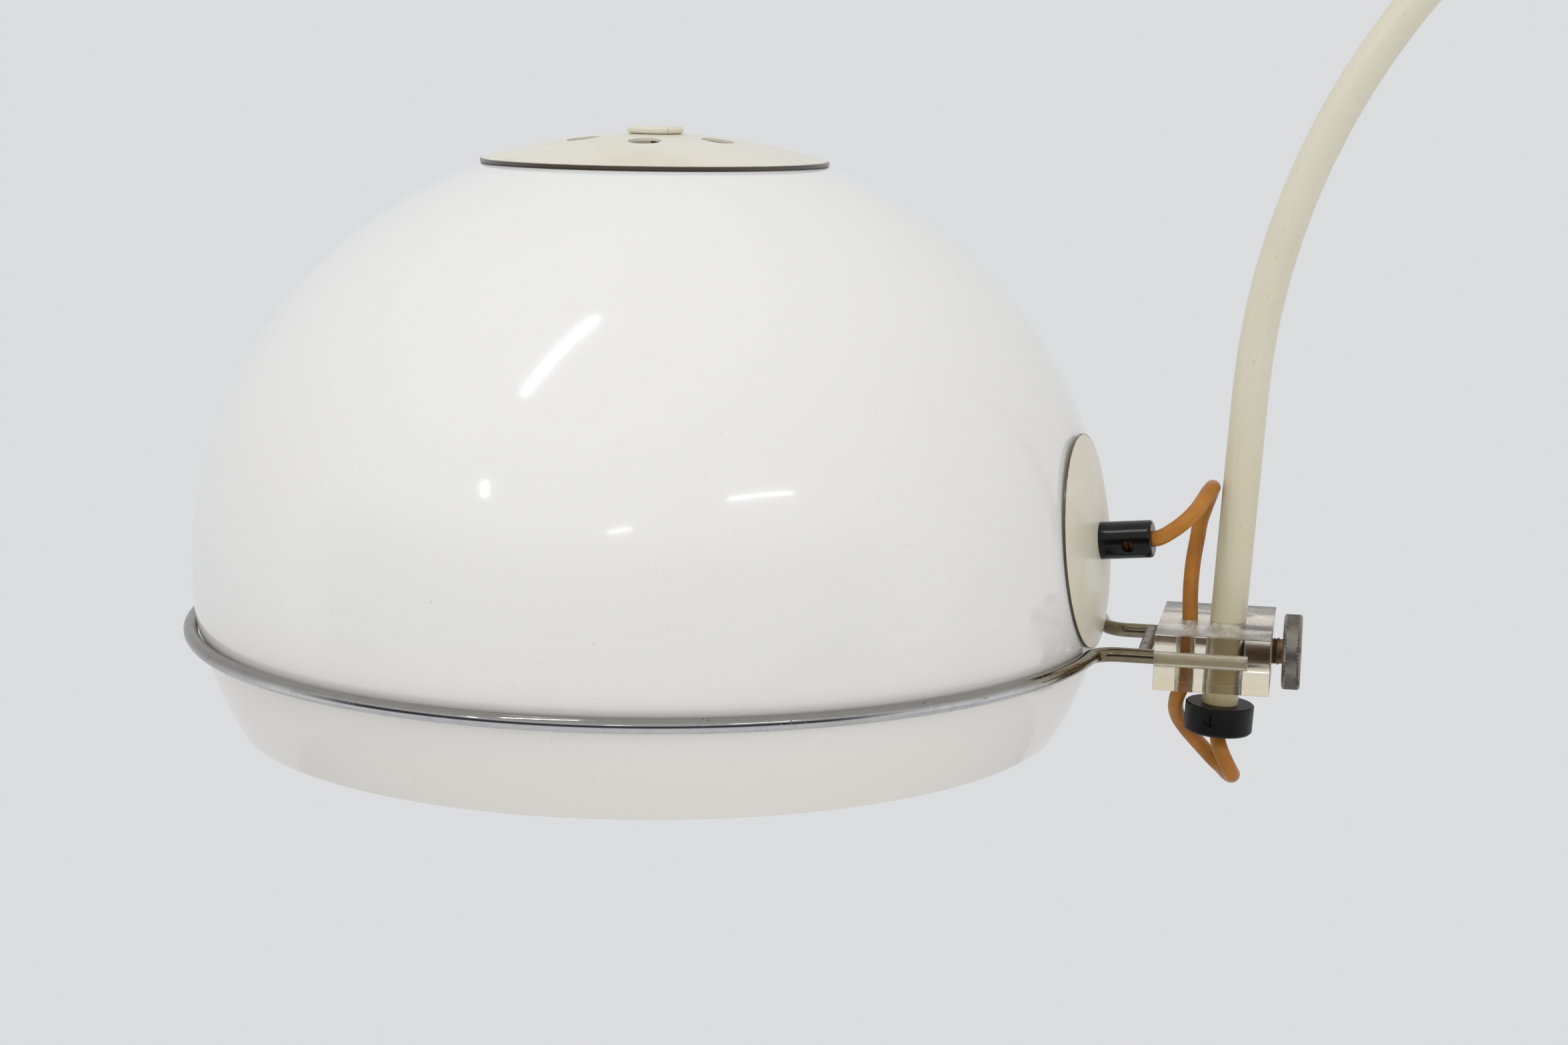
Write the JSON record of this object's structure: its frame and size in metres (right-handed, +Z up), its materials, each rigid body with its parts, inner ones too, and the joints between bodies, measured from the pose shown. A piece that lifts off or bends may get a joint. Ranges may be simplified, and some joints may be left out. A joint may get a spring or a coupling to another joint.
{
  "type": "floor lamp",
  "caption": "Arc floor lamp with a round weighted base, telescopic mast, bent tube arm and an acrylic dome shade held in a wire ring by a clear clamp block.",
  "frame": {"origin": "centre of the base's underside, on the floor and on the mast's axis", "axes": "+Z up along the mast, -X towards the shade"},
  "size_m": [1.2741, 0.4278, 1.8149],
  "materials": {
    "felt": "felt",
    "iron": "rough",
    "cream_lacquer": "semi-gloss",
    "chrome": "polished",
    "steel": "plain",
    "tarnished": "tarnished",
    "black_steel": "satin",
    "black_plastic": "gloss",
    "red_plastic": "satin",
    "nylon": "plain",
    "flex": "satin",
    "white_acrylic": "gloss",
    "clear_acrylic": "clear",
    "brass_shell": "plain",
    "opal_glass": "opal"
  },
  "bodies": {
    "base": {"base_felt": "felt", "base_weight": "iron", "base_cover": "cream_lacquer", "mast_socket": "chrome", "socket_bolts": "steel", "socket_grub": "steel", "base_flex": "flex", "lead_gland": "black_plastic", "lead_to_switch": "flex", "foot_switch": "black_plastic", "lead_to_coil": "flex", "lead_coil": "flex", "lead_tie": "black_plastic", "lead_to_plug": "flex", "plug_body": "black_plastic", "plug_pins": "steel"},
    "switch": {"switch_button": "red_plastic"},
    "mast": {"mast_tube": "cream_lacquer", "mast_bush": "nylon", "mast_collar": "black_steel", "mast_grub": "steel", "stop_ring": "nylon"},
    "mast_screw": {"height_screw": "steel"},
    "arc": {"arc_tube": "cream_lacquer", "slide_ring": "nylon", "end_collar": "black_steel", "collar_grub": "steel", "arc_flex": "flex"},
    "head": {"clamp_block": "clear_acrylic", "ring_wire": "chrome", "crossbar": "tarnished", "head_flex": "flex", "shade_dome": "white_acrylic", "vent_cap": "cream_lacquer", "finial": "cream_lacquer", "cap_bridge": "steel", "cap_nut": "steel", "side_disc": "cream_lacquer", "disc_washer": "steel", "gland_nut": "steel", "gland_nipple": "steel", "cord_gland": "black_plastic", "gland_screw": "steel", "gland_flex": "flex", "lamp_holder": "black_plastic", "holder_shell": "brass_shell", "bulb_cap": "steel", "bulb_glass": "opal_glass"},
    "head_screw": {"clamp_screw": "steel"}
  },
  "joints": [
    {"name": "mast_turn", "type": "hinge", "parent": "base", "child": "mast", "pos_m": [0, 0, 0.05], "axis": [0, 0, 1], "range_deg": [-170, 170]},
    {"name": "height_slide", "type": "slide", "parent": "mast", "child": "arc", "axis": [0, 0, 1], "range_m": [0, 0.205]},
    {"name": "head_swivel", "type": "hinge", "parent": "arc", "child": "head", "pos_m": [-0.62559, 0, 1.39838], "axis": [0.0523, 0, 0.9986], "range_deg": [-75, 75]},
    {"name": "height_screw_turn", "type": "hinge", "parent": "mast", "child": "mast_screw", "pos_m": [0.02, 0, 0.906], "axis": [1, 0, 0], "continuous": true},
    {"name": "clamp_screw_turn", "type": "hinge", "parent": "head", "child": "head_screw", "pos_m": [-0.6, 0, 1.39838], "axis": [1, 0, 0], "continuous": true},
    {"name": "switch_press", "type": "slide", "parent": "base", "child": "switch", "axis": [0, 0, -1], "range_m": [0, 0.003], "stiffness_N_per_m": 300}
  ]
}
